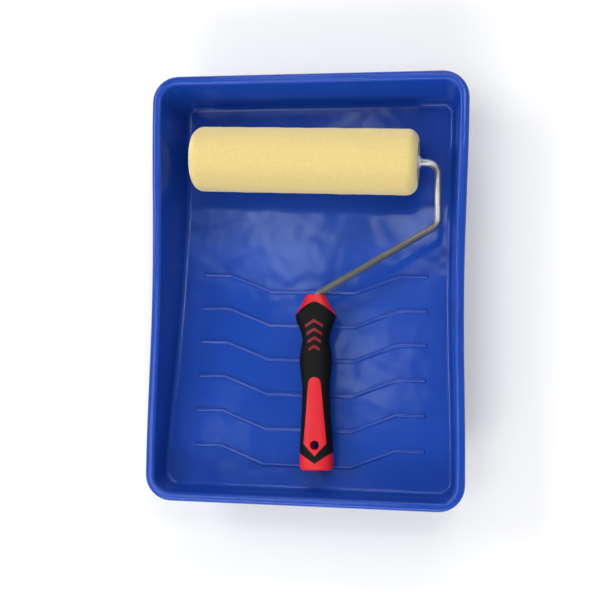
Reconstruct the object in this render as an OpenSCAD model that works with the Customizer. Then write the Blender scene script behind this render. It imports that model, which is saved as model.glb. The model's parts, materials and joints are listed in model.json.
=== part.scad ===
// Paint roller tray with its nine inch cage roller lying in it.
// The tray is one thin moulding: a deep well, a ramp with ridges, a rolled rim and two feet.
// The roller is a bent rod with a two-colour handle, and a wire cage that carries a pile sleeve.
// +X runs across the tray, +Y towards the deep well and +Z up.
// The origin is the middle of the footprint, on the surface that the tray stands on.

/* [Tray] */
// Outside length of the rim
tray_length = 410; // [402:1:440]
// Outside width of the rim
tray_width = 305; // [290:1:360]
// Height of the rim's crown above the surface that the tray stands on
tray_height = 78; // [72:1:100]
// Thickness of the moulding
wall = 2; // [1.5:0.1:3]
// Lean of the walls from upright, in degrees
wall_draft = 4.7; // [2:0.1:6]
// Plan radius of the rim's outer corners
corner_r = 25; // [24:1:40]
// How far the long sides draw in halfway along
side_bow = 3; // [0:0.5:6]
// Radius between the walls and the floor, inside
floor_fillet = 5; // [3:0.5:10]
// Width of the rim, from the wall's inner face to the outer edge
rim_width = 9; // [8:0.5:12]
// Height of the rim's turned-down lip
rim_drop = 9; // [7:0.5:14]
// Radius of the rim's outer edge
rim_round = 4; // [2:0.5:5]
// Radius of the rim's inner edge
mouth_round = 3; // [1:0.5:3]

/* [Floor] */
// Distance from the rim's deep end to the foot of the ramp
ramp_from = 116; // [112:1:130]
// Depth of the floor below the rim's crown at the shallow end
shallow_depth = 30; // [28:1:40]
// Half length of the curve at the foot of the ramp
ramp_blend = 8; // [2:1:14]

/* [Ridges] */
// Number of ridges on the ramp
ridge_count = 6; // [3:1:6]
// Distance from one ridge to the next
ridge_pitch = 33.8; // [26:0.1:36]
// Distance from the foot of the ramp to the first ridge
ridge_from = 74; // [60:1:80]
// Height of a ridge
ridge_height = 2; // [1:0.1:3]
// Width of a ridge where it meets the floor
ridge_width = 4.2; // [3.6:0.1:7]
// Length of a ridge's middle run
ridge_middle = 86; // [60:1:100]
// Length across the tray of a ridge's slanted runs
ridge_slant = 43; // [30:1:46]
// How far the middle run lies behind the end runs
ridge_step = 16.8; // [8:0.1:20]
// Length of a ridge's end runs
ridge_end = 26; // [15:1:36]

/* [Feet] */
// Width of a foot where it meets the ramp
foot_width = 44; // [30:1:54]
// Depth of a foot where it meets the ramp
foot_depth = 26; // [18:1:34]
// How much narrower a foot is at the ground, on each side
foot_taper = 4; // [1:0.5:6]
// Distance from the middle of the tray to the middle of a foot
foot_out = 104; // [60:1:110]
// Distance from the rim's shallow end to the middle of a foot
foot_back = 44; // [40:1:60]
// Depth of the stiffening ribs under the ramp
rib_depth = 7; // [4:0.5:10]

/* [Sleeve] */
// Outside diameter of the pile
pile_d = 65; // [58:0.2:70]
// Room across the tray beside the pile, for the walls, the rod's leg and fingers
pile_room = 80; // [70:1:90]
// Length along the axle over which the pile's ends round off
pile_round = 11; // [6:0.5:20]
// Outside diameter of the core tube
core_d = 42; // [42:0.5:46]
// Wall of the core tube
core_wall = 2; // [1:0.1:2]
// How far the pile stands past the core tube at each end
pile_past = 3; // [1:0.5:4]

/* [Cage] */
// Diameter of a cage wire
wire_d = 3; // [2:0.1:4]
// Length of an end cap inside the core tube
cap_length = 14; // [12:0.5:20]
// Depth of the sockets that hold the wires
wire_seat = 8; // [5:0.5:10]
// Length of the middle ring
ring_length = 8; // [5:0.5:14]
// Radial thickness of the middle ring
ring_band = 5; // [4:0.5:7]
// Radius of the end caps' hubs
hub_r = 5.4; // [5:0.1:7]
// How far the inner hub stands past the pile
hub_past = 1.5; // [1:0.1:2.5]
// Thickness of the inner cap's stop flange
flange = 1.6; // [1:0.1:2]
// Thickness of a washer
washer_t = 1; // [0.6:0.1:1.4]
// Thickness of the push nut
nut_t = 2; // [1.5:0.1:3]
// Depth of the push nut's dish
nut_dish = 0.8; // [0.4:0.1:1.2]
// Width of the push nut's face round the axle
nut_face = 2; // [1:0.1:2.5]
// Width of the push nut's outer lip
nut_lip = 1; // [0.5:0.1:1.5]
// Radial room round the push nut
nut_room = 1; // [0.5:0.1:1.5]
// How much wider than a hub the outer cap's recess is, on each side
recess_room = 2.5; // [2:0.1:3.5]
// How much deeper the recess is than the washer and the push nut
recess_past = 2; // [1.5:0.1:3]
// How far the axle stands past the push nut
axle_past = 1; // [0.5:0.1:1.4]
// How much wider the inner hub is at its foot, on each side
hub_foot = 2; // [1:0.1:4]
// Lead at the outer cap's free end, for pushing the sleeve on
cap_lead = 2; // [1:0.1:4]

/* [Rod] */
// Diameter of the rod
rod_d = 7; // [6:0.1:8]
// Distance from the end of the pile to the middle of the rod's leg
leg_out = 18.5; // [17:0.1:24]
// How much further out the leg's elbow is than its top
leg_splay = 2.5; // [0:0.1:4]
// Length of the leg, from the axle to the elbow
leg_length = 61.2; // [50:0.1:75]
// Distance from the axle to the handle's nose
nose_from = 133.1; // [125:0.1:145]
// Distance from the middle of the sleeve to the handle's axis
handle_out = 18.3; // [0:0.1:25]
// Bend radius beside the sleeve
bend_r = 12; // [9:0.5:13]
// Bend radius at the elbow and at the handle
elbow_r = 10; // [8:0.5:14]
// Length of rod inside the handle
rod_in = 62; // [45:1:75]
// Lean of the handle from square with the axle, in degrees
handle_lean = 3.4; // [-4:0.1:4]
// Length along the rod of the crimped ears behind the inner washer
ear_length = 2; // [1:0.1:2.4]
// How far an ear stands out from the rod
ear_out = 1.75; // [1:0.05:2]
// Thickness of the ears
ear_t = 2.5; // [2:0.1:3.5]

/* [Handle] */
// Length of the handle
handle_length = 168; // [160:0.5:175]
// Width of the nose
nose_w = 17.5; // [15:0.5:19]
// Thickness of the nose
nose_t = 17; // [16:0.5:20]
// Distance from the nose to the flare
flare_at = 19.5; // [18:0.5:24]
// Width of the flare
flare_w = 39.5; // [34:0.5:42]
// Thickness of the flare
flare_t = 27; // [24:0.5:29]
// Distance from the nose to the waist
waist_at = 42.5; // [38:0.5:50]
// Width of the waist
waist_w = 26; // [23:0.5:28]
// Thickness of the waist
waist_t = 23; // [21:0.5:25]
// Distance from the nose to the swell
swell_at = 63; // [58:0.5:70]
// Width of the swell
swell_w = 31.5; // [28:0.5:34]
// Thickness of the swell
swell_t = 28; // [25:0.5:30]
// Distance from the nose to the neck
neck_at = 90.5; // [84:0.5:98]
// Width of the neck
neck_w = 26.5; // [25:0.5:30]
// Thickness of the neck
neck_t = 24.5; // [24:0.5:28]
// Width of the tail
tail_w = 32.5; // [30:0.5:36]
// Thickness of the tail
tail_t = 29; // [27:0.5:31]
// Radius of the tail's end
tail_round = 4; // [2:0.5:5]
// Thickness of the soft grip
grip_skin = 2.5; // [1.5:0.1:3]
// Wall round the mouth of the rod's bore
nose_wall = 1.5; // [1:0.1:2]

/* [Grip windows] */
// Distance from the nose to the grip's front edge, on the axis
grip_from = 7.3; // [6:0.1:12]
// How far the grip's front edge falls back at the flare
grip_front_fall = 13; // [8:0.5:16]
// Distance from the tail to the grip's rear point
grip_to = 6.4; // [4:0.1:10]
// How far the grip's rear edge rises at the sides
grip_rear_rise = 10.5; // [6:0.5:14]
// Number of chevrons
chevron_count = 4; // [2:1:4]
// Distance from the nose to the first chevron's point
chevron_from = 24.5; // [23:0.1:28]
// Distance from one chevron to the next
chevron_pitch = 8.2; // [7:0.1:9]
// Half width of the first chevron
chevron_half = 8.7; // [7:0.1:9.5]
// How much each chevron is narrower than the one before, on each side
chevron_less = 1.2; // [0.5:0.05:1.3]
// Length along the handle of a chevron's arms, for each millimetre of half width
chevron_rake = 0.6; // [0.4:0.01:0.9]
// Stroke of a chevron
chevron_stroke = 3; // [2:0.1:3.5]
// Distance from the nose to the tongue
tongue_from = 80; // [76:0.5:86]
// Half width of the tongue's round end
tongue_small = 6; // [4:0.1:8]
// Half width of the tongue at its shoulders
tongue_large = 11; // [9:0.1:12]
// Distance from the tail to the tongue's shoulders
tongue_shoulder = 25; // [22:0.5:30]
// Distance from the tail to the tongue's point
tongue_point = 13.5; // [11:0.5:16]
// Diameter of the hanging hole
hang_d = 8.8; // [6:0.1:10]
// Distance from the tail to the hanging hole
hang_from = 23.6; // [20:0.1:26]
// Diameter of the pole socket
pole_d = 19; // [17:0.1:20]
// Depth of the pole socket
pole_depth = 36; // [30:1:45]

/* [Place in the tray] */
// Distance from the rim's deep end to the axle
axle_from = 76.9; // [70:0.1:80]
// Distance from the middle of the tray to the middle of the sleeve, towards -X
sleeve_left = 8.5; // [0:0.1:14]
// Turn of the roller in the tray, seen from above, in degrees
roller_turn = -1.4; // [-2:0.1:2]

/* [Fits] */
// Radial clearance of a turning fit
run_gap = 0.05; // [0.02:0.01:0.08]
// Radial clearance of the cage in the core tube
slip_gap = 0.2; // [0.1:0.05:0.3]
// Clearance where the roller lies on the tray
rest_gap = 0.5; // [0.2:0.05:0.8]

/* [Hidden] */
$fn = 64;

// Tray: derived values

// Tangent of the walls' lean
draft = tan(wall_draft);
// The mouth is the line where the wall's inner face would meet the crown's height
mouth_x = tray_width / 2 - rim_width;
mouth_y = tray_length / 2 - rim_width;
mouth_r = corner_r - rim_width;
// Ends of the straight stretch of the long sides
side_y = mouth_y - mouth_r;
// The fillet is held to what the corners leave it
fillet = min(floor_fillet, (mouth_r - tray_height * draft) * 0.95);
ramp_y = tray_length / 2 - ramp_from;
ramp_slope = (tray_height - shallow_depth - wall) / (ramp_y + mouth_y);
ramp_angle = atan(ramp_slope);
// Steps of the tray's rounds and of its long sides
corner_steps = 8;
fillet_steps = 5;
rim_steps = 4;
ramp_steps = 9;
well_steps = 4;

// Height of the floor's upper face at a place along the tray
function floor_z(y) =
    y >= ramp_y + ramp_blend ? wall
    : y <= ramp_y - ramp_blend ? wall + (ramp_y - y) * ramp_slope
    : wall + ramp_slope * pow(ramp_y + ramp_blend - y, 2) / (4 * ramp_blend);

// Points of an arc about c, from angle a to angle b
function arc(c, r, a, b, steps) =
    [for (i = [0:steps]) let (t = a + (b - a) * i / steps) c + r * [cos(t), sin(t)]];

// Middle of the fillet over a floor at height z, as [inset from the mouth, height]
function fillet_middle(z) =
    [(tray_height - z - fillet) * draft + fillet / cos(wall_draft), z + fillet];

// The moulding's section from the inner floor, up the wall, over the rim and down the outside
function section(z) =
    let (m = fillet_middle(z), under = tray_height - wall, lip = wall - rim_width)
    concat(
        arc(m, fillet, 270, 180 + wall_draft, fillet_steps),
        arc([mouth_round * (draft - 1), tray_height - mouth_round], mouth_round, 0, 90, rim_steps),
        arc([rim_round - rim_width, tray_height - rim_round], rim_round, 90, 180, rim_steps),
        [[-rim_width, tray_height - rim_drop], [lip, tray_height - rim_drop],
         [lip, under - wall], [lip + wall, under],
         [wall * draft - wall / cos(wall_draft), under]],
        arc(m, fillet + wall, 180 + wall_draft, 270, fillet_steps));

// Places along a long side where the section is set out
side_places = concat(
    [for (i = [1:ramp_steps - 1]) -side_y + (ramp_y - ramp_blend + side_y) * i / ramp_steps],
    [ramp_y - ramp_blend, ramp_y, ramp_y + ramp_blend],
    [for (i = [1:well_steps - 1]) ramp_y + ramp_blend + (side_y - ramp_y - ramp_blend) * i / well_steps]);

// The mouth's right half from the shallow end to the deep end, as [x, y, inward x, inward y]
function mouth_corner(y, a, b) =
    [for (i = [0:corner_steps]) let (t = a + (b - a) * i / corner_steps)
        [mouth_x - mouth_r + mouth_r * cos(t), y + mouth_r * sin(t), -cos(t), -sin(t)]];
mouth_half = concat(
    mouth_corner(-side_y, -90, 0),
    [for (y = side_places) [mouth_x - side_bow * (1 + cos(180 * y / side_y)) / 2, y, -1, 0]],
    mouth_corner(side_y, 0, 90));
half_count = len(mouth_half);
mouth_line = concat(mouth_half,
    [for (i = [half_count - 1:-1:0]) let (p = mouth_half[i]) [-p.x, p.y, -p[2], p[3]]]);

// Height of the floor where a place's section reaches it
function foot_z(p) = floor_z(p.y + p[3] * fillet_middle(floor_z(p.y)).x);

// Ridges: the bends of one ridge, from left to right
ridge_bends = [[-ridge_middle / 2 - ridge_slant - ridge_end, 0], [-ridge_middle / 2 - ridge_slant, 0],
               [-ridge_middle / 2, -ridge_step], [ridge_middle / 2, -ridge_step],
               [ridge_middle / 2 + ridge_slant, 0], [ridge_middle / 2 + ridge_slant + ridge_end, 0]];
// Turns round a ridge's rounded section, from the floor to its narrow crest
ridge_turns = [0, 25, 50, 75];
ridge_crown = ridge_height / sin(ridge_turns[len(ridge_turns) - 1]);
foot_y = foot_back - tray_length / 2;
// The ribs start where the ramp's underside is this many rib depths above the ground
rib_clear = 1.6;
rib_front = ramp_y - rib_clear * rib_depth / ramp_slope;

// Roller: derived values, along the axle from the middle of the sleeve

rod_r = rod_d / 2;
wire_count = 5;
pile_length = tray_width - pile_room;
core_length = pile_length - 2 * pile_past;
core_in = core_d / 2 - core_wall;
cage_r = core_in - slip_gap;
wire_pitch_r = cage_r - wire_d / 2;
wire_half = core_length / 2 - cap_length + wire_seat;
hub_end = pile_length / 2 + hub_past;
leg_x = pile_length / 2 + leg_out;
// The outer cap's recess holds the washer and the push nut
recess_r = hub_r + recess_room;
nut_r = recess_r - nut_room;
recess_depth = washer_t + nut_t + recess_past;
recess_floor = recess_depth - core_length / 2;
axle_end = washer_t + nut_t + axle_past - recess_floor;
ear_span = rod_d + 2 * ear_out;
rod_path = [[-axle_end, 0], [leg_x, 0], [leg_x + leg_splay, -leg_length], [handle_out, -nose_from],
            [handle_out + rod_in * sin(handle_lean), -nose_from - rod_in * cos(handle_lean)]];
rod_bends = [0, bend_r, elbow_r, elbow_r, 0];
bend_lap = 0.5;
bend_swell = 0.03;

// Where the roller lies: the pile on the well's floor and the tail on the last ridge
axle_y = tray_length / 2 - axle_from;
axle_z = wall + rest_gap + pile_d / 2;
tail_x = handle_out + handle_length * sin(handle_lean);
tail_reach = nose_from + handle_length * cos(handle_lean);
// The bottom of the tilted tail lies a little further up the ramp than its axis
function tail_y(tilt) =
    axle_y + tail_x * sin(roller_turn) - (tail_reach * cos(tilt) + tail_t / 2 * sin(tilt)) * cos(roller_turn);
function tail_z(tilt) = floor_z(tail_y(tilt)) + ridge_height + rest_gap + tail_t / 2 * cos(tilt);
// The tail's height and the tilt settle together in a few passes
function settle(tilt, passes) =
    passes == 0 ? tilt : settle(asin((tail_z(tilt) - axle_z) / tail_reach), passes - 1);
roller_tilt = settle(5, 6);

// Handle: half width and half thickness at a distance s from the nose
stations = [[0, nose_w, nose_t], [flare_at, flare_w, flare_t], [waist_at, waist_w, waist_t],
            [swell_at, swell_w, swell_t], [neck_at, neck_w, neck_t],
            [handle_length - tail_round, tail_w, tail_t], [handle_length, tail_w, tail_t]];
function station_at(s, i = 0) = s <= stations[i + 1][0] || i == len(stations) - 2 ? i : station_at(s, i + 1);
function ease(t) = t * t * (3 - 2 * t);
function tail_in(s) =
    let (d = max(0, s - handle_length + tail_round)) tail_round - sqrt(max(0, tail_round * tail_round - d * d));
function half_sizes(s) =
    let (i = station_at(s), a = stations[i], b = stations[i + 1], t = (s - a[0]) / (b[0] - a[0]),
         share = i == 0 ? t : ease(t), shrink = min(tail_in(s), tail_round * 0.7))
    [for (k = [1, 2]) (a[k] + (b[k] - a[k]) * share) / 2 - shrink];
// Squareness of the handle's oval section and the number of points round it
oval = 2.5;
oval_points = 28;
function bulge(v) = sign(v) * pow(abs(v), 2 / oval);
// Places along the handle where its section is set out
ring_step = 6.5;
function places(a, b) = let (n = ceil((b - a) / ring_step)) [for (i = [1:n]) a + (b - a) * i / n];
handle_places = concat([0], [for (i = [0:len(stations) - 3]) each places(stations[i][0], stations[i + 1][0])],
    [for (a = [30:20:90]) handle_length - tail_round + tail_round * sin(a)]);
// The core under the soft grip runs past both ends of the grip, to this far from the nose and the tail
core_end = min(grip_from, grip_to) / 2;
core_places = concat([core_end],
    [for (s = handle_places) if (s > core_end + 1 && s < handle_length - core_end - 1) s],
    [handle_length - core_end]);
// Half of the widest part, which the grip's outline is set out on
grip_half = flare_w / 2;
// The mouth of the rod's bore is opened out for the bend
bore_mouth_r = nose_w / 2 - nose_wall;
bore_mouth = elbow_r * 0.75;

// Tray: modules

// The moulding, as its section carried round the mouth
module tray_shell() {
    rows = [for (p = mouth_line) let (z = foot_z(p))
        [for (q = section(z)) [p.x + p[2] * q[0], p.y + p[3] * q[0], q[1]]]];
    n = len(rows);
    m = len(rows[0]);
    sides = [for (i = [0:n - 1], j = [0:m - 2]) let (k = (i + 1) % n)
        [k * m + j, k * m + j + 1, i * m + j + 1, i * m + j]];
    inside = [for (i = [0:half_count - 2]) let (k = n - 1 - i) [k * m, (k - 1) * m, (i + 1) * m, i * m]];
    outside = [for (f = inside) [for (i = [3:-1:0]) f[i] + m - 1]];
    polyhedron([for (r = rows) each r], concat(sides, inside, outside), convexity = 6);
}

// One bend of a ridge, standing on the ramp and rooted in it
module ridge_pad(x, y) {
    half = ridge_width / 2;
    translate([x, y, floor_z(y)]) rotate_extrude($fn = 12)
        polygon(concat([[0, -wall / 2], [half, -wall / 2]],
            [for (a = ridge_turns) [half * cos(a), ridge_crown * sin(a)]], [[0, ridge_height]]));
}

module ridge(y) {
    for (i = [0:len(ridge_bends) - 2]) {
        a = ridge_bends[i];
        b = ridge_bends[i + 1];
        hull() {
            ridge_pad(a.x, y + a.y);
            ridge_pad(b.x, y + b.y);
        }
    }
}

// A block from the ground up to the middle of the ramp's thickness, narrower at the ground
module foot_block(w, d, ground) {
    skin = 0.2;
    hull() {
        translate([0, 0, floor_z(foot_y) - wall / 2]) rotate([-ramp_angle, 0, 0]) cube([w, d, skin], center = true);
        translate([0, 0, ground + skin / 2])
            cube([w - 2 * foot_taper, d - 2 * foot_taper, skin], center = true);
    }
}

// A channel-shaped foot, open towards the shallow end
module foot() {
    difference() {
        foot_block(foot_width, foot_depth, 0);
        translate([0, -2 * wall, 0]) foot_block(foot_width - 2 * wall, foot_depth + 2 * wall, wall);
    }
}

// A stiffening rib under the ramp
module ramp_rib() {
    back = foot_y + foot_depth / 2 - 0.6 * wall;
    root = wall / 2;
    rotate([90, 0, 90]) linear_extrude(wall, center = true)
        polygon([[rib_front, floor_z(rib_front) - root], [back, floor_z(back) - root],
                 [back, floor_z(back) - wall - rib_depth], [rib_front, floor_z(rib_front) - wall - root]]);
}

module tray() {
    color("royalblue") {
        tray_shell();
        for (i = [0:ridge_count - 1]) ridge(ramp_y - ridge_from - i * ridge_pitch);
        for (side = [-1, 1]) translate([side * foot_out, 0, 0]) {
            translate([0, foot_y, 0]) foot();
            ramp_rib();
        }
        ramp_rib();
    }
}

// Roller: modules, with the axle along X, the handle towards -Y and the middle of the sleeve at the origin

// Lays the roller in the tray
module laid() {
    translate([-sleeve_left, axle_y, axle_z]) rotate([-roller_tilt, 0, roller_turn]) children();
}

// Turns a shape drawn along +Z to lie along +X, starting at x
module along(x) {
    translate([x, 0, 0]) rotate([0, 90, 0]) children();
}

function heading(i) = let (d = rod_path[i + 1] - rod_path[i]) atan2(d.y, d.x);
function turn(i) = heading(i) - heading(i - 1);
function trim(i) = rod_bends[i] == 0 ? 0 : rod_bends[i] * tan(abs(turn(i)) / 2);

// A straight run of the rod, between the bends at its ends
module rod_run(i) {
    length = norm(rod_path[i + 1] - rod_path[i]) - trim(i) - trim(i + 1);
    translate(rod_path[i]) rotate([0, 0, heading(i)]) along(trim(i)) cylinder(h = length, r = rod_r);
}

// The bend of the rod at a corner of its path, a hair thicker than the runs and lapped over their ends
module rod_bend(i) {
    way = sign(turn(i));
    lap = asin(bend_lap / rod_bends[i]);
    start = rod_path[i] - trim(i) * [cos(heading(i - 1)), sin(heading(i - 1))];
    to_middle = heading(i - 1) + 90 * way;
    middle = start + rod_bends[i] * [cos(to_middle), sin(to_middle)];
    first = to_middle + 180 + min(0, turn(i));
    translate(middle) rotate([0, 0, first - lap])
        rotate_extrude(angle = abs(turn(i)) + 2 * lap) translate([rod_bends[i], 0]) circle(r = rod_r + bend_swell);
}

module frame_rod() {
    color("silver") laid() {
        for (i = [0:len(rod_path) - 2]) rod_run(i);
        for (i = [1:len(rod_path) - 2]) rod_bend(i);
        translate([hub_end + run_gap + washer_t, -ear_t / 2, -ear_span / 2]) cube([ear_length, ear_t, ear_span]);
    }
}

module washer(x) {
    along(x) difference() {
        cylinder(h = washer_t, r = hub_r);
        translate([0, 0, -1]) cylinder(h = washer_t + 2, r = rod_r + run_gap);
    }
}

module inner_washer() {
    color("silver") laid() washer(hub_end + run_gap);
}

module outer_washer() {
    color("silver") laid() washer(recess_floor - run_gap - washer_t);
}

// A dished nut that is pushed on to the end of the axle
module push_nut() {
    color("silver") laid() along(recess_floor - run_gap - washer_t - nut_t) rotate_extrude()
        polygon([[rod_r + run_gap, 0], [rod_r + nut_face, 0], [nut_r, nut_t - nut_dish], [nut_r, nut_t],
                 [nut_r - nut_lip, nut_t], [rod_r + run_gap, nut_dish]]);
}

// The grooves for the cage wires round a cap or ring
module wire_grooves(from, to) {
    for (i = [1:wire_count]) rotate([360 / wire_count * i, 0, 0]) translate([0, 0, wire_pitch_r])
        along(from) cylinder(h = to - from, r = wire_d / 2 + run_gap, $fn = 32);
}

// The cap beside the leg, with a flange that stops the sleeve and a hub that runs on the washer
module inner_end_cap() {
    core_half = core_length / 2;
    color("ivory") laid() difference() {
        along(core_half - cap_length) rotate_extrude()
            polygon([[0, 0], [cage_r, 0], [cage_r, cap_length], [core_d / 2 - slip_gap, cap_length],
                     [core_d / 2 - slip_gap, cap_length + flange], [hub_r + hub_foot, cap_length + flange],
                     [hub_r, cap_length + hub_end - core_half], [0, cap_length + hub_end - core_half]]);
        along(core_half - cap_length - 1) cylinder(h = cap_length + hub_end - core_half + 2, r = rod_r + run_gap);
        wire_grooves(core_half - cap_length - 1, wire_half + run_gap);
    }
}

// The cap at the free end, with a lead for the sleeve and a recess for the push nut
module outer_end_cap() {
    core_half = core_length / 2;
    color("ivory") laid() difference() {
        along(-core_half) rotate_extrude()
            polygon([[0, 0], [cage_r - cap_lead, 0], [cage_r, cap_lead], [cage_r, cap_length], [0, cap_length]]);
        along(-core_half - 1) cylinder(h = cap_length + 2, r = rod_r + run_gap);
        along(-core_half - 1) cylinder(h = recess_depth + 1, r = recess_r);
        wire_grooves(-wire_half - run_gap, 1 - core_half + cap_length);
    }
}

module cage_wire(i) {
    color("silver") laid() rotate([360 / wire_count * i, 0, 0]) translate([0, 0, wire_pitch_r])
        along(-wire_half) cylinder(h = 2 * wire_half, r = wire_d / 2, $fn = 32);
}

// The ring that keeps the wires apart halfway along the cage
module cage_middle_ring() {
    color("ivory") laid() difference() {
        along(-ring_length / 2) difference() {
            cylinder(h = ring_length, r = cage_r);
            translate([0, 0, -1]) cylinder(h = ring_length + 2, r = cage_r - ring_band);
        }
        wire_grooves(-ring_length / 2 - 1, ring_length / 2 + 1);
    }
}

module core_tube() {
    color("wheat") laid() along(-core_length / 2) difference() {
        cylinder(h = core_length, r = core_d / 2);
        translate([0, 0, -1]) cylinder(h = core_length + 2, r = core_in);
    }
}

// The pile, with ends that round off from its full diameter down to the core
module pile_cover() {
    pile_in = core_d / 2 + run_gap;
    deep = pile_d / 2 - pile_in;
    steps = 8;
    color("khaki") laid() along(-pile_length / 2) rotate_extrude()
        polygon(concat(
            [for (i = [0:steps]) let (t = 90 * i / steps)
                [pile_in + deep * sin(t), pile_round * (1 - cos(t))]],
            [for (i = [0:steps]) let (t = 90 - 90 * i / steps)
                [pile_in + deep * sin(t), pile_length - pile_round * (1 - cos(t))]]));
}

// Handle: modules, with the middle of the nose at the origin and the tail towards -Y

// Puts the handle on the rod
module on_rod() {
    translate([handle_out, -nose_from, 0]) rotate([0, 0, handle_lean]) children();
}

// The handle's outer form over some of its places, drawn in by a skin
module handle_form(at, skin) {
    n = oval_points;
    rings = len(at);
    points = [for (s = at) let (h = half_sizes(s)) for (k = [0:n - 1]) let (t = 360 * k / n)
        [(h[0] - skin) * bulge(cos(t)), -s, (h[1] - skin) * bulge(sin(t))]];
    sides = [for (i = [0:rings - 2], k = [0:n - 1]) let (next = (k + 1) % n)
        [i * n + next, i * n + k, (i + 1) * n + k, (i + 1) * n + next]];
    polyhedron(points, concat(sides, [[for (k = [0:n - 1]) k], [for (k = [n - 1:-1:0]) (rings - 1) * n + k]]));
}

// A plan area of the handle, drawn with s along +Y from the nose, cut right through its thickness
module through_handle() {
    mirror([0, 1, 0]) linear_extrude(2 * flare_w, center = true) children();
}

module chevron(i) {
    half = chevron_half - chevron_less * i;
    point = chevron_from + chevron_pitch * i;
    arm = point + half * chevron_rake;
    polygon([[0, point], [half, arm], [half, arm + chevron_stroke], [0, point + chevron_stroke],
             [-half, arm + chevron_stroke], [-half, arm]]);
}

module tongue() {
    shoulder = handle_length - tongue_shoulder;
    polygon(concat(arc([0, tongue_from + tongue_small], tongue_small, 180, 360, 10),
        [[tongue_large, shoulder], [0, handle_length - tongue_point], [-tongue_large, shoulder]]));
}

// The plan of the soft grip, with its arched front, its pointed rear and its windows
module grip_plan() {
    steps = 12;
    rear = handle_length - grip_to;
    difference() {
        polygon(concat(
            [for (i = [-steps:steps]) let (t = i / steps * 1.1)
                [t * grip_half, grip_from + grip_front_fall * pow(abs(t), 1.5)]],
            [[grip_half * 1.1, rear - grip_rear_rise * grip_half * 2.2 / tail_w], [0, rear],
             [-grip_half * 1.1, rear - grip_rear_rise * grip_half * 2.2 / tail_w]]));
        for (i = [0:chevron_count - 1]) chevron(i);
        tongue();
    }
}

module handle_core() {
    color("crimson") laid() on_rod() difference() {
        union() {
            handle_form(core_places, grip_skin);
            difference() {
                handle_form(handle_places, 0);
                through_handle() grip_plan();
            }
        }
        translate([0, 1, 0]) rotate([90, 0, 0]) cylinder(h = rod_in + 1 + run_gap, r = rod_r + run_gap);
        rotate([90, 0, 0]) cylinder(h = bore_mouth, r1 = bore_mouth_r, r2 = rod_r + run_gap);
        translate([0, -handle_length - 1, 0]) rotate([-90, 0, 0]) cylinder(h = pole_depth + 1, r = pole_d / 2);
        translate([0, hang_from - handle_length, 0]) cylinder(h = 2 * tail_t, r = hang_d / 2, center = true);
    }
}

module soft_grip() {
    color("dimgray") laid() on_rod() difference() {
        intersection() {
            handle_form(handle_places, 0);
            through_handle() grip_plan();
        }
        handle_form(core_places, grip_skin);
    }
}

tray();
frame_rod();
inner_washer();
inner_end_cap();
outer_end_cap();
outer_washer();
push_nut();
for (i = [1:wire_count]) cage_wire(i);
cage_middle_ring();
core_tube();
pile_cover();
handle_core();
soft_grip();
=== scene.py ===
# Looks of the paint tray and its roller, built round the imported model.
# All lengths are in metres, in the model's own frame: +X across the tray, +Y to the deep well, +Z up.

import json
import math

import bpy
import numpy as np
from mathutils import Matrix, Vector


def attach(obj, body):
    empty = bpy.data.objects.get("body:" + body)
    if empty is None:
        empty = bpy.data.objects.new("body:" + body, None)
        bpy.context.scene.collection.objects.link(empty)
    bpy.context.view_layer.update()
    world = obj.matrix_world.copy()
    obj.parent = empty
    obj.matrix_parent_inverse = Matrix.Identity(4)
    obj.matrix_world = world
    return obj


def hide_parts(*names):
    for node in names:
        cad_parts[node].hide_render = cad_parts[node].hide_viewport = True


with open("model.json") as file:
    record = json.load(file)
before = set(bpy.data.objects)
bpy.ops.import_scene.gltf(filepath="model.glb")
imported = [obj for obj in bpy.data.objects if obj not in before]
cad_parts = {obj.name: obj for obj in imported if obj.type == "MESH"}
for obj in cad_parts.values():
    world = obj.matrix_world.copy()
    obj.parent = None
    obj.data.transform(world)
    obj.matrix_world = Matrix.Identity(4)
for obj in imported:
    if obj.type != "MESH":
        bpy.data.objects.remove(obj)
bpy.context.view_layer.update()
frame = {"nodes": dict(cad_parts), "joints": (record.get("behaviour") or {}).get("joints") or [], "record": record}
nodes = frame["nodes"]
joints = {joint["name"]: joint for joint in frame["joints"]}
mounts = {mount["name"]: mount for mount in frame["record"]["mounts"]}
scene = bpy.context.scene
MM = 0.001
FULL_TURN = 2 * math.pi
SEED = 7
RNG = np.random.default_rng(SEED)


# Camera: almost straight down, a little from the right and from the shallow end.
# Its angles are in degrees, and its lens and sensor in millimetres.

VIEW_EAST = 9.49
VIEW_SOUTH = 1.36
VIEW_ROLL = 0.89
VIEW_AT = Vector((-3.5, -10.6, 78.0)) * MM
VIEW_DISTANCE = 1.0
VIEW_LENS = 63.58
VIEW_SENSOR = 36.0
VIEW_NEAR = 0.01
VIEW_FAR = 50.0


def place_camera():
    """The photo's view, aimed near the middle of the tray's mouth."""
    east = math.sin(math.radians(VIEW_EAST))
    south = math.sin(math.radians(VIEW_SOUTH))
    back = Vector((east, -south, math.sqrt(1 - east * east - south * south)))
    right = Vector((0, 1, 0)).cross(back).normalized()
    up = back.cross(right)
    roll = math.radians(VIEW_ROLL)
    rolled_right = math.cos(roll) * right + math.sin(roll) * up
    rolled_up = -math.sin(roll) * right + math.cos(roll) * up
    data = bpy.data.cameras.new("photo_view")
    data.lens = VIEW_LENS
    data.sensor_width = VIEW_SENSOR
    data.clip_start = VIEW_NEAR
    data.clip_end = VIEW_FAR
    camera = bpy.data.objects.new("photo_view", data)
    turn = Matrix((rolled_right, rolled_up, back)).transposed().to_4x4()
    camera.matrix_world = Matrix.Translation(VIEW_AT + VIEW_DISTANCE * back) @ turn
    scene.collection.objects.link(camera)
    scene.camera = camera


place_camera()


# Node helpers

# A mixing node has sockets for every kind of data, and these are the ones for colours
MIX_SHARE = 0
MIX_FIRST = 6
MIX_SECOND = 7
MIX_RESULT = 2


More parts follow.
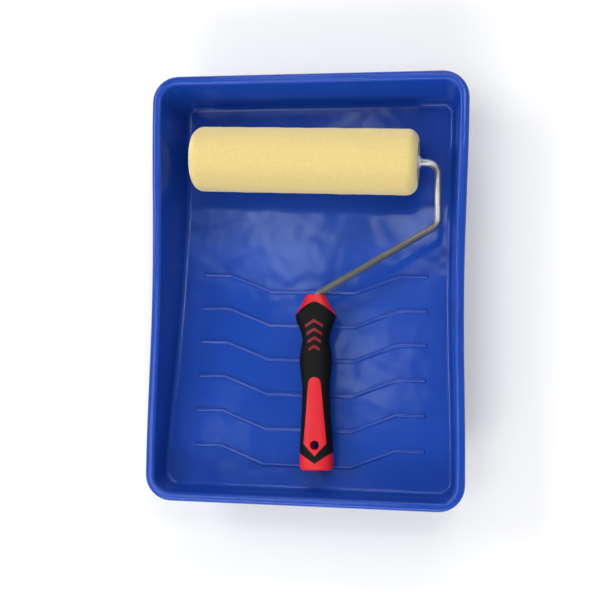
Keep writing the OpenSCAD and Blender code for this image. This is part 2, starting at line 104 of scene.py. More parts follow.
def add(tree, kind, inputs=None, **settings):
    """A new node with its settings and inputs. An input given as a socket is linked."""
    node = tree.nodes.new(kind)
    for name, value in settings.items():
        setattr(node, name, value)
    for name, value in (inputs or {}).items():
        if isinstance(value, bpy.types.NodeSocket):
            tree.links.new(value, node.inputs[name])
        else:
            node.inputs[name].default_value = value
    return node


def blend_colour(tree, share, first, second):
    """Colour from first to second by a share."""
    inputs = {MIX_SHARE: share, MIX_FIRST: first, MIX_SECOND: second}
    return add(tree, "ShaderNodeMix", inputs, data_type="RGBA").outputs[MIX_RESULT]


def stain(tree, base, mask, strength, shade):
    """Colour taken towards another shade where a mask is set."""
    return blend_colour(tree, times(tree, mask, strength), base, shade)


def work_out(tree, how, first, second):
    """One step of arithmetic on two values."""
    return add(tree, "ShaderNodeMath", {0: first, 1: second}, operation=how).outputs[0]


def times(tree, first, second):
    """Product of two values."""
    return work_out(tree, "MULTIPLY", first, second)


def add_share(tree, base, extra, share):
    """Value with a share of another on top."""
    return work_out(tree, "ADD", base, times(tree, extra, share))


def dot(tree, first, second):
    """How far one vector runs along another."""
    node = add(tree, "ShaderNodeVectorMath", {0: first, 1: second}, operation="DOT_PRODUCT")
    return node.outputs["Value"]


def to_range(tree, value, low, high, out_low=0.0, out_high=1.0):
    """Value taken from one range to another, and held inside it."""
    inputs = {"Value": value, "From Min": low, "From Max": high, "To Min": out_low, "To Max": out_high}
    return add(tree, "ShaderNodeMapRange", inputs).outputs[0]


def noise(tree, place, scale, detail=2.0, roughness=0.5):
    """Cloudy noise at a place."""
    inputs = {"Vector": place, "Scale": scale, "Detail": detail, "Roughness": roughness}
    return add(tree, "ShaderNodeTexNoise", inputs).outputs[0]


def own_place(tree):
    """The piece's own coordinates, which stay with it when it moves."""
    return add(tree, "ShaderNodeTexCoord").outputs["Object"]


def colour(red, green, blue):
    """Linear colour from the eight-bit values that a screen shows."""
    def linear(level):
        share = level / 255
        return share / 12.92 if share <= 0.04045 else ((share + 0.055) / 1.055) ** 2.4
    return (linear(red), linear(green), linear(blue), 1.0)


# Shared effects, each a group with named sockets. A pair of numbers is the part of a noise that is used.

CLOUDS = (0.3, 0.7)
RUB_STARTS = 0.01
RUB_BREAKS = (0.3, 0.65)
RUB_SAMPLES = 4
SCUFF_SKEW = 0.22
SCUFF_LINES = (0.64, 0.72)
SCUFF_PATCHES = (0.48, 0.68)
SCUFF_PATCH_SCALE = 14.0
BLOTCHES = (0.35, 0.7)


def new_group(name, inputs, outputs):
    """An empty group with float inputs, given with their defaults, and float outputs."""
    tree = bpy.data.node_groups.new(name, "ShaderNodeTree")
    for label, default in inputs.items():
        socket = tree.interface.new_socket(label, in_out="INPUT", socket_type="NodeSocketFloat")
        socket.default_value = default
    for label in outputs:
        tree.interface.new_socket(label, in_out="OUTPUT", socket_type="NodeSocketFloat")
    return tree, tree.nodes.new("NodeGroupInput").outputs, tree.nodes.new("NodeGroupOutput").inputs


def make_moulded_skin():
    """Fine grain and slow waves of a moulded surface, and a mottle for its colour."""
    inputs = {"Grain Scale": 900.0, "Wave Scale": 40.0, "Mottle Scale": 25.0}
    tree, given, put = new_group("moulded skin", inputs, ["Grain", "Wave", "Mottle"])
    place = own_place(tree)
    tree.links.new(noise(tree, place, given["Grain Scale"]), put["Grain"])
    tree.links.new(noise(tree, place, given["Wave Scale"], detail=1.0), put["Wave"])
    tree.links.new(noise(tree, place, given["Mottle Scale"], detail=4.0, roughness=0.6), put["Mottle"])
    return tree


def make_edge_rub():
    """Where hands and paint have rubbed the edges, broken up by noise."""
    inputs = {"Radius": 1.2 * MM, "Reach": 0.25, "Break Scale": 120.0}
    tree, given, put = new_group("edge rub", inputs, ["Mask"])
    soft = add(tree, "ShaderNodeBevel", {"Radius": given["Radius"]}, samples=RUB_SAMPLES).outputs[0]
    flat = add(tree, "ShaderNodeNewGeometry").outputs["Normal"]
    turned = work_out(tree, "SUBTRACT", 1.0, dot(tree, soft, flat))
    edge = to_range(tree, turned, RUB_STARTS, given["Reach"])
    breaks = noise(tree, own_place(tree), given["Break Scale"], detail=3.0, roughness=0.6)
    tree.links.new(times(tree, edge, to_range(tree, breaks, *RUB_BREAKS)), put["Mask"])
    return tree


def make_scuffs():
    """Thin scuffs that run along one way, in patches."""
    inputs = {"Across": 900.0, "Along": 18.0, "Amount": 0.5}
    tree, given, put = new_group("scuffs", inputs, ["Mask"])
    place = own_place(tree)
    skewed = add(tree, "ShaderNodeVectorRotate", {"Vector": place, "Angle": SCUFF_SKEW},
                 rotation_type="Z_AXIS").outputs[0]
    stretch = add(tree, "ShaderNodeCombineXYZ",
                  {0: given["Across"], 1: given["Along"], 2: given["Along"]}).outputs[0]
    drawn = add(tree, "ShaderNodeVectorMath", {0: skewed, 1: stretch}, operation="MULTIPLY").outputs[0]
    lines = to_range(tree, noise(tree, drawn, 1.0, detail=1.0), *SCUFF_LINES)
    patches = to_range(tree, noise(tree, place, SCUFF_PATCH_SCALE), *SCUFF_PATCHES)
    tree.links.new(times(tree, times(tree, lines, patches), given["Amount"]), put["Mask"])
    return tree


def make_metal_bloom():
    """Blotches and fine pits of plated or drawn metal."""
    inputs = {"Blotch Scale": 60.0, "Pit Scale": 1500.0}
    tree, given, put = new_group("metal bloom", inputs, ["Blotch", "Pits"])
    place = own_place(tree)
    clouds = noise(tree, place, given["Blotch Scale"], detail=4.0, roughness=0.65)
    tree.links.new(to_range(tree, clouds, *BLOTCHES), put["Blotch"])
    tree.links.new(noise(tree, place, given["Pit Scale"]), put["Pits"])
    return tree


MOULDED_SKIN = make_moulded_skin()
EDGE_RUB = make_edge_rub()
SCUFFS = make_scuffs()
METAL_BLOOM = make_metal_bloom()


def use_group(tree, group, **values):
    """A shared effect placed in a material with its own values."""
    node = tree.nodes.new("ShaderNodeGroup")
    node.node_tree = group
    for name, value in values.items():
        node.inputs[name.replace("_", " ")].default_value = value
    return node.outputs


def by_mottle(tree, skin, low=0.0, high=1.0):
    """Value that goes from low to high with a moulded skin's mottle."""
    return to_range(tree, skin["Mottle"], *CLOUDS, low, high)


# Materials

def new_material(name):
    """An empty material with its shader joined to the output."""
    material = bpy.data.materials.new(name)
    material.use_nodes = True
    tree = material.node_tree
    tree.nodes.clear()
    shader = tree.nodes.new("ShaderNodeBsdfPrincipled")
    out = tree.nodes.new("ShaderNodeOutputMaterial")
    tree.links.new(shader.outputs[0], out.inputs["Surface"])
    return material, tree, shader


def set_plain(shader, values):
    """Values that are the same all over the surface, on the shader's own sockets."""
    for name, value in values.items():
        shader.inputs[name].default_value = value


def bump(tree, shader, height, depth):
    """Surface relief whose height, from 0 to 1, stands for a depth in metres."""
    node = add(tree, "ShaderNodeBump", {"Strength": 1.0, "Distance": depth, "Height": height})
    tree.links.new(node.outputs[0], shader.inputs["Normal"])


TRAY_BLUES = (colour(23, 62, 154), colour(27, 67, 161))
# Paler blue of the tray's edges and ridges: rub wear and a painted highlight
TRAY_RUB_AND_HIGHLIGHT = colour(48, 88, 196)
TRAY_SCUFFED = colour(120, 145, 205)


def make_tray_plastic():
    """Glossy blue plastic, paler and duller where it is rubbed or scuffed. The paler blue on its edges and ridges
    is partly rub wear and partly a painted highlight.
    """
    material, tree, shader = new_material("tray_plastic")
    skin = use_group(tree, MOULDED_SKIN, Grain_Scale=700.0, Wave_Scale=38.0, Mottle_Scale=16.0)
    rub = use_group(tree, EDGE_RUB, Radius=1.6 * MM, Reach=0.22, Break_Scale=70.0)["Mask"]
    scuff = use_group(tree, SCUFFS, Across=700.0, Along=16.0, Amount=0.12)["Mask"]
    shade = blend_colour(tree, by_mottle(tree, skin), *TRAY_BLUES)
    # Edges and ridges painted paler blue: rub wear and a painted highlight
    shade = stain(tree, shade, rub, 0.3, TRAY_RUB_AND_HIGHLIGHT)
    shade = stain(tree, shade, scuff, 0.35, TRAY_SCUFFED)
    tree.links.new(shade, shader.inputs["Base Color"])
    dull = by_mottle(tree, skin, low=0.1, high=0.17)
    dull = add_share(tree, dull, rub, 0.6)
    dull = add_share(tree, dull, scuff, 0.25)
    tree.links.new(dull, shader.inputs["Roughness"])
    set_plain(shader, {"Specular IOR Level": 0.25})
    bump(tree, shader, add_share(tree, skin["Wave"], skin["Grain"], 0.03), depth=0.6 * MM)
    return material


HANDLE_REDS = (colour(206, 27, 41), colour(216, 33, 47))
HANDLE_RUBBED = colour(230, 74, 80)
# Darker red of the chevrons: painted shade, as if they sat sunk in the grip
CHEVRON_SHADE_RED = colour(106, 16, 31)
CHEVRONS_FROM = 106.0 * MM
CHEVRONS_TO = 145.0 * MM
CHEVRONS_FADE = 1.0 * MM


def make_handle_plastic():
    """Red plastic. The chevrons, found along the handle from its tail, are painted a darker, duller red: painted
    shade, as if they were sunk in the grip.
    """
    material, tree, shader = new_material("handle_red")
    skin = use_group(tree, MOULDED_SKIN, Grain_Scale=1400.0, Wave_Scale=90.0, Mottle_Scale=45.0)
    rub = use_group(tree, EDGE_RUB, Radius=0.8 * MM, Reach=0.3, Break_Scale=160.0)["Mask"]
    shade = blend_colour(tree, by_mottle(tree, skin), *HANDLE_REDS)
    shade = stain(tree, shade, rub, 0.25, HANDLE_RUBBED)
    socket = mounts["pole_socket"]
    mouth = Vector(socket["pos_m"]).dot(socket["axis"])
    along = work_out(tree, "SUBTRACT", mouth, dot(tree, own_place(tree), socket["axis"]))
    past_tongue = to_range(tree, along, CHEVRONS_FROM, CHEVRONS_FROM + CHEVRONS_FADE)
    before_nose = to_range(tree, along, CHEVRONS_TO + CHEVRONS_FADE, CHEVRONS_TO)
    # Painted shade: the chevrons are darkened as if sunk in the grip
    shade = stain(tree, shade, times(tree, past_tongue, before_nose), 0.9, CHEVRON_SHADE_RED)
    tree.links.new(shade, shader.inputs["Base Color"])
    tree.links.new(by_mottle(tree, skin, low=0.32, high=0.44), shader.inputs["Roughness"])
    set_plain(shader, {"Specular IOR Level": 0.3})
    bump(tree, shader, add_share(tree, skin["Wave"], skin["Grain"], 0.1), depth=0.12 * MM)
    return material


GRIP_BLACKS = (colour(6, 6, 7), colour(11, 11, 12))
GRIP_RUBBED = colour(44, 44, 46)


def make_grip_rubber():
    """Soft black skin of the handle, greyer on its rubbed edges."""
    material, tree, shader = new_material("grip_black")
    skin = use_group(tree, MOULDED_SKIN, Grain_Scale=2200.0, Wave_Scale=120.0, Mottle_Scale=60.0)
    rub = use_group(tree, EDGE_RUB, Radius=0.8 * MM, Reach=0.3, Break_Scale=200.0)["Mask"]
    shade = blend_colour(tree, by_mottle(tree, skin), *GRIP_BLACKS)
    shade = stain(tree, shade, rub, 0.4, GRIP_RUBBED)
    tree.links.new(shade, shader.inputs["Base Color"])
    tree.links.new(by_mottle(tree, skin, low=0.52, high=0.68), shader.inputs["Roughness"])
    set_plain(shader, {"Specular IOR Level": 0.16})
    bump(tree, shader, add_share(tree, skin["Grain"], skin["Wave"], 0.5), depth=0.15 * MM)
    return material


def make_metal(name, plain, tarnished, sleek, dull, blotch_scale, drawn_up=None):
    """Plain metal. On drawn wire, the way up from the wire's plane turns its gloss round the wire."""
    material, tree, shader = new_material(name)
    set_plain(shader, {"Metallic": 1.0})
    if drawn_up:
        set_plain(shader, {"Anisotropic": 0.9})
        upward = add(tree, "ShaderNodeCombineXYZ", dict(enumerate(drawn_up)))
        tree.links.new(upward.outputs[0], shader.inputs["Tangent"])
    bloom = use_group(tree, METAL_BLOOM, Blotch_Scale=blotch_scale, Pit_Scale=1600.0)
    tree.links.new(blend_colour(tree, bloom["Blotch"], plain, tarnished), shader.inputs["Base Color"])
    tree.links.new(to_range(tree, bloom["Blotch"], 0.0, 1.0, sleek, dull), shader.inputs["Roughness"])
    bump(tree, shader, bloom["Pits"], depth=0.012 * MM)
    return material


def make_plain_plastic(name, pale, deep, sleek, dull):
    """Satin plastic of the roller's inner pieces."""
    material, tree, shader = new_material(name)
    skin = use_group(tree, MOULDED_SKIN, Grain_Scale=1500.0, Wave_Scale=110.0, Mottle_Scale=70.0)
    tree.links.new(blend_colour(tree, by_mottle(tree, skin), deep, pale), shader.inputs["Base Color"])
    tree.links.new(by_mottle(tree, skin, low=sleek, high=dull), shader.inputs["Roughness"])
    bump(tree, shader, add_share(tree, skin["Wave"], skin["Grain"], 0.2), depth=0.1 * MM)
    return material


# Painted shade and light on the pile: darker at the roots between tufts, paler at the tips
FLEECE_SHADED_ROOTS = (colour(225, 204, 136), colour(231, 211, 145))
FLEECE_LIT_TIPS = (colour(230, 209, 143), colour(238, 221, 158))
FLEECE_FIBRES = (0.25, 0.75)
FLEECE_RISE = (0.05, 0.75)


def make_fleece_cloth():
    """Pale yellow pile, with painted shade on the roots between its tufts and painted light on their tips."""
    material, tree, shader = new_material("pile_fabric")
    height = add(tree, "ShaderNodeAttribute", attribute_name="tuft").outputs["Fac"]
    place = own_place(tree)
    fibre = noise(tree, place, 1100.0, detail=3.0, roughness=0.7)
    patch = noise(tree, place, 45.0, detail=3.0)
    shaded_root = blend_colour(tree, to_range(tree, patch, *CLOUDS), *FLEECE_SHADED_ROOTS)
    lit_tip = blend_colour(tree, to_range(tree, fibre, *FLEECE_FIBRES), *FLEECE_LIT_TIPS)
    # Painted shade by tuft height: the roots darker, the tips paler
    shade = blend_colour(tree, to_range(tree, height, *FLEECE_RISE), shaded_root, lit_tip)
    tree.links.new(shade, shader.inputs["Base Color"])
    set_plain(shader, {"Roughness": 0.95, "Diffuse Roughness": 1.0, "Specular IOR Level": 0.1,
                       "Sheen Weight": 1.0, "Sheen Tint": (1.0, 0.96, 0.82, 1), "Sheen Roughness": 0.35})
    bump(tree, shader, fibre, depth=0.28 * MM)
    return material


TRAY_PLASTIC = make_tray_plastic()
HANDLE_RED = make_handle_plastic()
GRIP_BLACK = make_grip_rubber()
ROD_STEEL = make_metal("rod_steel", (0.42, 0.425, 0.435, 1), (0.35, 0.35, 0.355, 1),
                       sleek=0.32, dull=0.4, blotch_scale=90.0, drawn_up=mounts["hang_hole"]["axis"])
CAGE_STEEL = make_metal("cage_steel", (0.6, 0.6, 0.6, 1), (0.42, 0.41, 0.4, 1),
                        sleek=0.3, dull=0.45, blotch_scale=140.0)
WASHER_STEEL = make_metal("washer_steel", (0.62, 0.61, 0.58, 1), (0.46, 0.45, 0.42, 1),
                          sleek=0.28, dull=0.42, blotch_scale=200.0)
CAP_PLASTIC = make_plain_plastic("cap_plastic", colour(238, 235, 226), colour(224, 220, 208),
                                 sleek=0.38, dull=0.52)
CORE_PLASTIC = make_plain_plastic("core_plastic", colour(206, 190, 152), colour(190, 172, 132),
                                  sleek=0.45, dull=0.6)
PILE_FABRIC = make_fleece_cloth()

CAGE_WIRES = 5
FINISHES = {
    "tray": TRAY_PLASTIC, "frame_rod": ROD_STEEL,
    "inner_washer": WASHER_STEEL, "outer_washer": WASHER_STEEL, "push_nut": WASHER_STEEL,
    "inner_end_cap": CAP_PLASTIC, "outer_end_cap": CAP_PLASTIC, "cage_middle_ring": CAP_PLASTIC,
    "core_tube": CORE_PLASTIC, "pile_cover": PILE_FABRIC,
    "handle_core": HANDLE_RED, "soft_grip": GRIP_BLACK}
FINISHES.update({f"cage_wire_{i + 1}": CAGE_STEEL for i in range(CAGE_WIRES)})
for name, finish in FINISHES.items():
    nodes[name].data.materials.clear()
    nodes[name].data.materials.append(finish)


# Smooth shading of the moulded and turned pieces. Edges over an angle in degrees are kept sharp.

SHARP_FROM = {"tray": 40.0, "handle_core": 38.0, "soft_grip": 38.0}
USUAL_SHARP = 32.0
WELD_DISTANCE = 2e-6


def make_smoothing(name, angle):
    """A modifier that joins split points, shades smoothly and keeps edges over an angle sharp."""
    tree = bpy.data.node_groups.new(name, "GeometryNodeTree")
    for way in ("INPUT", "OUTPUT"):
        tree.interface.new_socket("Geometry", in_out=way, socket_type="NodeSocketGeometry")
    given = tree.nodes.new("NodeGroupInput").outputs[0]
    joined = add(tree, "GeometryNodeMergeByDistance",
                 {"Geometry": given, "Distance": WELD_DISTANCE}).outputs[0]
    edge_angle = tree.nodes.new("GeometryNodeInputMeshEdgeAngle").outputs[0]
    sharp = add(tree, "FunctionNodeCompare", {0: edge_angle, 1: math.radians(angle)},
                data_type="FLOAT", operation="GREATER_THAN").outputs[0]
    faces = add(tree, "GeometryNodeSetShadeSmooth",
                {"Geometry": joined, "Shade Smooth": True}, domain="FACE").outputs[0]
    edges = add(tree, "GeometryNodeSetShadeSmooth",
                {"Geometry": faces, "Selection": sharp, "Shade Smooth": False}, domain="EDGE").outputs[0]
    tree.links.new(edges, tree.nodes.new("NodeGroupOutput").inputs[0])
    return tree


def smooth(piece, angle):
    """Smooth shading of a CAD piece, in modifiers alone."""
    bpy.context.view_layer.objects.active = piece
    if piece.data.has_custom_normals:
        bpy.ops.mesh.customdata_custom_splitnormals_clear()
    modifier = piece.modifiers.new("smooth", "NODES")
    modifier.node_group = make_smoothing(piece.name + " smoothing", angle)
    weighted = piece.modifiers.new("weighted", "WEIGHTED_NORMAL")
    weighted.keep_sharp = True


for name, piece in nodes.items():
    smooth(piece, SHARP_FROM.get(name, USUAL_SHARP))


# Pieces made here

def new_piece(name, points, faces, material, body):
    """A mesh piece that rides on a body."""
    mesh = bpy.data.meshes.new(name)
    mesh.from_pydata([tuple(p) for p in points], [], [tuple(f) for f in faces])
    mesh.validate()
    mesh.shade_smooth()
    mesh.materials.append(material)
    piece = bpy.data.objects.new(name, mesh)
    scene.collection.objects.link(piece)
    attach(piece, body)
    return piece


def grid_faces(rows, columns, closed_rows=False):
    """Quads of a grid whose columns close on themselves, and whose rows may."""
    faces = []
    for i in range(rows if closed_rows else rows - 1):
        k = (i + 1) % rows
        for j in range(columns):
            m = (j + 1) % columns
            faces.append((i * columns + j, k * columns + j, k * columns + m, i * columns + m))
    return faces


# The sleeve's pile: a closed ring of short tufts over the core tube

PILE_R = 32.5 * MM
PILE_BORE_R = 21.05 * MM
PILE_LENGTH = 225.0 * MM
PILE_ROUND = 11.0 * MM
PILE_STEP = 0.74 * MM
ARC_OVER_CHORD = 1.11
BORE_RINGS = 5
EDGE_FADE = 3.0 * MM
TUFT_PITCH = 1.9 * MM
TUFT_DEPTH = 0.38 * MM
# Shares of the pitch or of the depth
TUFT_SHIFT = 0.38
TUFT_TALL = (0.6, 1.0)
TUFT_WIDE = (0.78, 1.08)
# The sway's waves: how many run round the sleeve, and the length of one along it
PILE_SWAY = 0.22 * MM
SWAY_WAVES = ((2, 90.0 * MM), (3, 50.0 * MM), (5, 31.0 * MM), (7, 19.0 * MM))
SWAY_PHASE = 6.28


def pile_profile():
    """Outer line of the pile between its bore's edges: place along and radius, outward way, and run."""
    rise = PILE_R - PILE_BORE_R
    half = PILE_LENGTH / 2
    arc_steps = round(math.hypot(rise, PILE_ROUND) * ARC_OVER_CHORD / PILE_STEP)
    straight_steps = round((PILE_LENGTH - 2 * PILE_ROUND) / PILE_STEP)
    turns = np.linspace(0, math.pi / 2, arc_steps + 1)
    first = np.stack([-half + PILE_ROUND * (1 - np.cos(turns)), PILE_BORE_R + rise * np.sin(turns)], 1)
    flat = np.linspace(first[-1, 0], -first[-1, 0], straight_steps + 1)[1:-1]
    straight = np.stack([flat, np.full_like(flat, PILE_R)], 1)
    line = np.concatenate([first, straight, first[::-1] * [-1, 1]])
    way = np.gradient(line, axis=0)
    way /= np.linalg.norm(way, axis=1)[:, None]
    outward = np.stack([-way[:, 1], way[:, 0]], 1)
    run = np.concatenate([[0], np.cumsum(np.linalg.norm(np.diff(line, axis=0), axis=1))])
    return line, outward, run


def tuft_heights(around, run, girth):
    """Height from 0 to 1 of close-set tufts, on a jittered grid that closes round the sleeve."""
    across = round(girth / TUFT_PITCH)
    rows = math.ceil(run.max() / TUFT_PITCH) + 3
    pitch = girth / across
    shift = RNG.uniform(-TUFT_SHIFT, TUFT_SHIFT, (rows, across, 2))
    tall = RNG.uniform(*TUFT_TALL, (rows, across))
    wide = RNG.uniform(*TUFT_WIDE, (rows, across)) * pitch
    column = np.floor(around / pitch).astype(int)
    row = np.floor(run / TUFT_PITCH).astype(int) + 1
    best = np.zeros(around.shape)
    for i in (-1, 0, 1):
        for j in (-1, 0, 1):
            r = np.clip(row + i, 0, rows - 1)
            c = (column + j) % across
            u = (column + j + 0.5 + shift[r, c, 0]) * pitch - around
            v = (r - 0.5 + shift[r, c, 1]) * TUFT_PITCH - run
            best = np.maximum(best, tall[r, c] * (1 - (u * u + v * v) / wide[r, c] ** 2))
    return best


def pile_sway(turn, along):
    """Slow unevenness of the pile, from -1 to 1."""
    phases = RNG.uniform(0, SWAY_PHASE, len(SWAY_WAVES))
    sway = np.zeros(along.shape)
    for (waves_round, wavelength), phase in zip(SWAY_WAVES, phases):
        sway += np.sin(waves_round * turn + along / wavelength * FULL_TURN + phase) / len(SWAY_WAVES)
    return sway


def make_pile():
    """The ring of tufts round the sleeve's axis, with its bore. It stands for the plain CAD ring."""
    spin = joints["sleeve_spin"]
    middle = np.array(spin["pos_m"])
    axle = np.array(spin["axis"])
    upward = np.array([0.0, 0.0, 1.0])
    forward = np.cross(upward, axle)
    line, outward, run = pile_profile()
    girth = FULL_TURN * PILE_R
    columns = round(girth / PILE_STEP)
    turn = np.arange(columns) / columns * FULL_TURN
    around, along = np.meshgrid(turn / FULL_TURN * girth, run)
    tuft = tuft_heights(around, along, girth)
    sway = pile_sway(turn, along)
    edge = np.clip(np.minimum(run, run[-1] - run) / EDGE_FADE, 0, 1)[:, None]
    lift = (tuft - 1) * TUFT_DEPTH * edge + sway * PILE_SWAY * edge - PILE_SWAY
    place = line[:, None, 0] + outward[:, None, 0] * lift
    radius = np.maximum(line[:, None, 1] + outward[:, None, 1] * lift, PILE_BORE_R)
    bore = np.linspace(line[-1, 0], line[0, 0], BORE_RINGS + 2)[1:-1]
    place = np.concatenate([place, np.repeat(bore[:, None], columns, 1)])
    radius = np.concatenate([radius, np.full((BORE_RINGS, columns), PILE_BORE_R)])
    tuft = np.concatenate([tuft, np.zeros((BORE_RINGS, columns))])
    spokes = np.cos(turn)[:, None] * upward + np.sin(turn)[:, None] * forward
    points = middle + place[..., None] * axle + radius[..., None] * spokes
    faces = grid_faces(len(place), columns, closed_rows=True)
    piece = new_piece("sleeve_pile", points.reshape(-1, 3), faces, PILE_FABRIC, "sleeve")
    attribute = piece.data.attributes.new("tuft", "FLOAT", "POINT")
    attribute.data.foreach_set("value", tuft.astype(np.float32).ravel())
    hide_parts("pile_cover")


make_pile()


# The coarse thread inside the pole socket

THREAD_PITCH = 5.0 * MM
THREAD_FROM = 3.0 * MM
THREAD_TO = 16.5 * MM
THREAD_ROOT = 0.15 * MM
THREAD_LIP = 0.02 * MM
THREAD_HEIGHT = 0.8 * MM
THREAD_ROOT_W = 2.6 * MM
THREAD_CREST_W = 1.1 * MM
# Steps in a turn, and steps over which each end of the thread fades out
THREAD_STEPS = 36
THREAD_FADE = 12


def make_socket_thread():
    """A ridge wound inside the socket's bore, from near its mouth inwards."""
    socket = mounts["pole_socket"]
    mouth = Vector(socket["pos_m"])
    inward = -Vector(socket["axis"])
    bore_r = socket["dims"]["r_mm"] * MM
    root_r = bore_r + THREAD_ROOT
    side = inward.orthogonal().normalized()
    other = inward.cross(side)
    length = THREAD_TO - THREAD_FROM
    steps = round(length / THREAD_PITCH * THREAD_STEPS)
    points = []
    for i in range(steps + 1):
        share = i / steps
        turn = FULL_TURN * share * length / THREAD_PITCH
        depth = THREAD_FROM + share * length
        fade = min(1.0, share * steps / THREAD_FADE, (1 - share) * steps / THREAD_FADE)
        spoke = math.cos(turn) * side + math.sin(turn) * other
        crest_r = bore_r + THREAD_LIP - THREAD_HEIGHT * fade
        for radius, offset in ((root_r, -THREAD_ROOT_W / 2), (crest_r, -THREAD_CREST_W / 2),
                               (crest_r, THREAD_CREST_W / 2), (root_r, THREAD_ROOT_W / 2)):
            points.append(mouth + spoke * radius + inward * (depth + offset))
    faces = grid_faces(steps + 1, 4)
    last = steps * 4
    faces.append((0, 1, 2, 3))
    faces.append((last + 3, last + 2, last + 1, last))
    new_piece("socket_thread", points, faces, HANDLE_RED, "frame")


make_socket_thread()


# Floor

BLACK = (0, 0, 0, 1)
FLOOR_REACH = 6.0
FLOOR_COLOUR = (0.94, 0.94, 0.94, 1)
# The share of steady white near the tray, and the distances over which it grows to the whole
FLOOR_STEADY = 0.16
FLOOR_NEAR = 0.45
FLOOR_FAR = 1.6


def make_floor():
    """A plain pale floor. The camera sees part of it as a steady white, more so away from the tray."""
    material, tree, shader = new_material("pale_floor")
    path = add(tree, "ShaderNodeLightPath").outputs
    mirrored = work_out(tree, "MAXIMUM", path["Is Glossy Ray"], path["Is Transmission Ray"])
    seen = work_out(tree, "MAXIMUM", path["Is Camera Ray"], mirrored)
    away = add(tree, "ShaderNodeVectorMath", {0: own_place(tree)}, operation="LENGTH").outputs["Value"]
    share = times(tree, seen, to_range(tree, away, FLOOR_NEAR, FLOOR_FAR, FLOOR_STEADY, 1.0))
    tree.links.new(blend_colour(tree, share, FLOOR_COLOUR, BLACK), shader.inputs["Base Color"])
    tree.links.new(blend_colour(tree, share, BLACK, FLOOR_COLOUR), shader.inputs["Emission Color"])
    set_plain(shader, {"Emission Strength": 1.0, "Roughness": 0.7, "Specular IOR Level": 0.1})
    mesh = bpy.data.meshes.new("floor")
    corners = [(-FLOOR_REACH, -FLOOR_REACH, 0), (FLOOR_REACH, -FLOOR_REACH, 0),
               (FLOOR_REACH, FLOOR_REACH, 0), (-FLOOR_REACH, FLOOR_REACH, 0)]
    mesh.from_pydata(corners, [], [(0, 1, 2, 3)])
    mesh.materials.append(material)
    floor = bpy.data.objects.new("floor", mesh)
    scene.collection.objects.link(floor)


make_floor()


# Sky

SKY_DIM = (0.15, 0.155, 0.16, 1)
SKY_WEST = (0.54, 0.545, 0.555, 1)
SKY_EAST = (0.4, 0.405, 0.415, 1)
# The dim strip runs overhead from front left to back right: the way across it, and the fade at its edges
STRIP_ACROSS = (0.848, 0.529)
STRIP_EDGE = 0.12
STRIP_END = 0.55
# Heights between which the strip fades downwards and the pale horizon begins
STRIP_FADE = (0.6, 0.1)
HORIZON_FADE = (0.08, 0.02)


def make_sky():
    """A soft studio, brightest in the west, with a dim strip overhead and a pale horizon."""
    world = bpy.data.worlds.new("studio")
    world.use_nodes = True
    tree = world.node_tree
    tree.nodes.clear()
    way = add(tree, "ShaderNodeTexCoord").outputs["Generated"]
    east, north, height = add(tree, "ShaderNodeSeparateXYZ", {0: way}).outputs
    across = add_share(tree, times(tree, east, STRIP_ACROSS[0]), north, STRIP_ACROSS[1])
    past_strip = to_range(tree, across, STRIP_EDGE, STRIP_END)
    east_share = work_out(tree, "MAXIMUM", past_strip, to_range(tree, height, *STRIP_FADE))
    shade = blend_colour(tree, east_share, SKY_DIM, SKY_EAST)
    shade = blend_colour(tree, to_range(tree, across, -STRIP_EDGE, -STRIP_END), shade, SKY_WEST)
    shade = blend_colour(tree, to_range(tree, height, *HORIZON_FADE), shade, FLOOR_COLOUR)
    sky = add(tree, "ShaderNodeBackground", {"Color": shade, "Strength": 1.0})
    out = tree.nodes.new("ShaderNodeOutputWorld")
    tree.links.new(sky.outputs[0], out.inputs["Surface"])
    scene.world = world


make_sky()


# Lamps: the name, place, target, width, height and brightness of each soft panel

WHITE = (1, 1, 1)
PANELS = [
    ("key_panel", (-1.09, -0.51, 3.71), (0, 0, 0), 1.2, 1.9, 3.35),
    ("north_panel", (0.25, 2.0, 1.75), (0, 0, 0), 2.0, 0.5, 6.6),
    ("south_panel", (-0.3, -1.9, 1.7), (0, 0.15, 0.04), 1.8, 0.6, 8.3),
    ("left_panel", (-1.25, 0.55, 1.35), (0.1, 0.1, 0), 0.9, 0.35, 10.2),
    ("right_panel", (0.46, 0.62, 1.75), (0.12, 0.1, 0), 0.32, 0.3, 12.0)]
WALL_PANEL = ("wall_panel", (0.0, -1.75, 0.55), (0, 0.19, 0.04), 3.2, 0.3, 6.3)

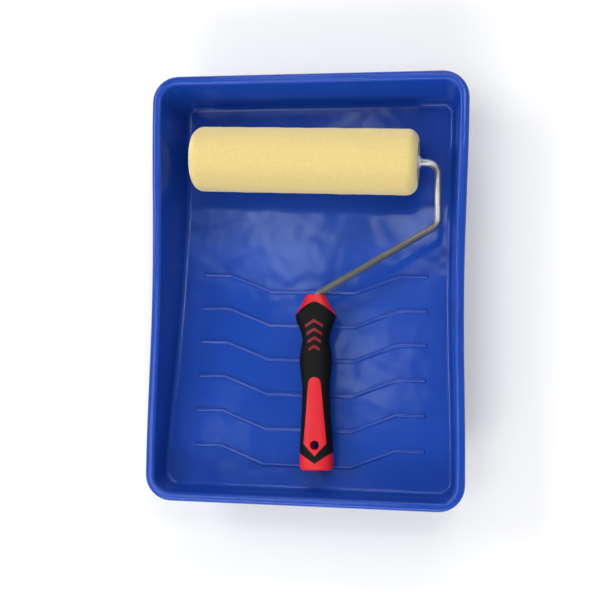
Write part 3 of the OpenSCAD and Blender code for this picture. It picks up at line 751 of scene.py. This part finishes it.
# Small panels whose reflections lie at chosen spots of the glossy ramp: the name, the spot in
# millimetres, and the panel's width, height and brightness
GLARES = [
    ("glare_left", (-22, 45), 0.14, 0.2, 6.1),
    ("glare_left_wide", (-75, 55), 0.22, 0.12, 2.4),
    ("glare_right", (116, 72), 0.24, 0.11, 7.2),
    ("glare_low", (56, -72), 0.09, 0.22, 6.2),
    ("glare_low_left", (-78, -138), 0.1, 0.07, 3.2)]
GLARE_DISTANCE = 1.6
GLARE_TINT = (0.84, 1.0, 1.04)
RAMP_FOOT = 89.0 * MM
RAMP_SLOPE = 0.1614
WELL_FLOOR = 2.0 * MM

# The glare and the wall panel light the tray alone, because the roller in the photo doesn't show them
TRAY_ALONE = bpy.data.collections.new("tray_alone")
TRAY_ALONE.objects.link(nodes["tray"])


def add_panel(name, place, target, width, height, radiance, tint=WHITE):
    """A soft light panel that faces its target. Its power follows from its size and brightness."""
    data = bpy.data.lights.new(name, "AREA")
    data.shape = "RECTANGLE"
    data.size = width
    data.size_y = height
    data.energy = radiance * math.pi * width * height
    data.color = tint
    lamp = bpy.data.objects.new(name, data)
    lamp.location = place
    lamp.rotation_mode = "QUATERNION"
    lamp.rotation_quaternion = (Vector(target) - Vector(place)).to_track_quat("-Z", "Y")
    scene.collection.objects.link(lamp)
    return lamp


def add_glare(name, spot, width, height, radiance):
    """A panel placed where the ramp mirrors it from a spot into the camera."""
    x = spot[0] * MM
    y = spot[1] * MM
    place = Vector((x, y, WELL_FLOOR + max(0.0, RAMP_FOOT - y) * RAMP_SLOPE))
    upright = Vector((0, RAMP_SLOPE, 1)).normalized()
    seen = (scene.camera.matrix_world.translation - place).normalized()
    mirrored = 2 * seen.dot(upright) * upright - seen
    lamp = add_panel(name, place + GLARE_DISTANCE * mirrored, place, width, height, radiance, GLARE_TINT)
    lamp.light_linking.receiver_collection = TRAY_ALONE


def add_wall_panel():
    """A low panel that reaches the tray's inner walls past the roller, without gloss."""
    lamp = add_panel(*WALL_PANEL)
    lamp.visible_glossy = False
    lamp.light_linking.receiver_collection = TRAY_ALONE
    lamp.light_linking.blocker_collection = TRAY_ALONE


for panel in PANELS:
    add_panel(*panel)
for glare in GLARES:
    add_glare(*glare)
add_wall_panel()
scene.view_settings.view_transform = "Standard"
